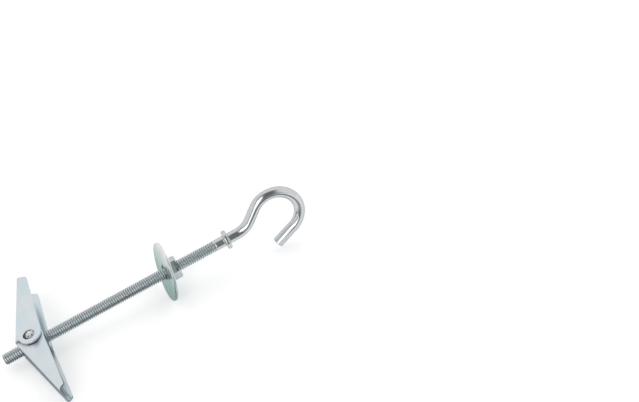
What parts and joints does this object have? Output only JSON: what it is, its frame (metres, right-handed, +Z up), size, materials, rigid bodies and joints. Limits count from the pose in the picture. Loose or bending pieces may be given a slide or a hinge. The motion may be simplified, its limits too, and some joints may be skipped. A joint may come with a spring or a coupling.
{
  "type": "spring toggle bolt",
  "caption": "Spring toggle bolt: a threaded rod ending in a round hook, with a nut, a washer and two sprung folding sheet wings that open behind a hollow wall or ceiling.",
  "frame": {"origin": "bottom centre of the bounding box, on the floor that the bolt lies on", "axes": "+X along the rod towards the hook as seen from above, +Z up, with the bolt at rest on the washer's rim and the wide wing"},
  "size_m": [0.1146, 0.06, 0.0234],
  "materials": {
    "bolt_zinc": "bright zinc plating with a faint blue passivation tint",
    "nut_zinc": "bright zinc plating with a faint blue passivation tint",
    "washer_zinc": "bright zinc plating with a faint blue passivation tint",
    "trunnion_zinc": "bright zinc plating with a faint blue passivation tint",
    "wing_zinc": "bright zinc plating with a faint blue passivation tint",
    "spring_steel": "bare drawn wire"
  },
  "bodies": {
    "bolt": {"hook_bolt": "bolt_zinc"},
    "washer": {"washer": "washer_zinc"},
    "nut": {"hex_nut": "nut_zinc"},
    "toggle": {"trunnion": "trunnion_zinc", "torsion_spring": "spring_steel"},
    "wide_wing": {"wide_wing": "wing_zinc"},
    "narrow_wing": {"narrow_wing": "wing_zinc"}
  },
  "joints": [
    {"name": "toggle_travel", "type": "slide", "parent": "bolt", "child": "toggle", "axis": [0.996, 0, 0.0892], "range_m": [-0.0085, 0.01]},
    {"name": "wide_wing_fold", "type": "hinge", "parent": "toggle", "child": "wide_wing", "pos_m": [-0.0452, -0.00001, 0.00539], "axis": [0.0892, -0.0243, -0.9957], "range_deg": [0, 74.8], "stiffness_Nm_per_rad": 0.0168, "springref_deg": -28.65, "deforming": ["torsion_spring"]},
    {"name": "narrow_wing_fold", "type": "hinge", "parent": "toggle", "child": "narrow_wing", "pos_m": [-0.0452, -0.00001, 0.00539], "axis": [-0.0892, 0.0243, 0.9957], "range_deg": [0, 74.8], "stiffness_Nm_per_rad": 0.0168, "springref_deg": -28.65, "deforming": ["torsion_spring"]},
    {"name": "washer_travel", "type": "slide", "parent": "bolt", "child": "washer", "axis": [0.996, 0, 0.0892], "range_m": [-0.00635, 0.01349]},
    {"name": "nut_turn", "type": "hinge", "parent": "washer", "child": "nut", "pos_m": [0.0062, -0.00001, 0.00999], "axis": [0.996, 0, 0.0892], "range_deg": [-2880, 6120]}
  ],
  "couplings": [
    {"joint": "nut_turn", "follows": "washer_travel", "rad_per_m": 7915.8}
  ]
}
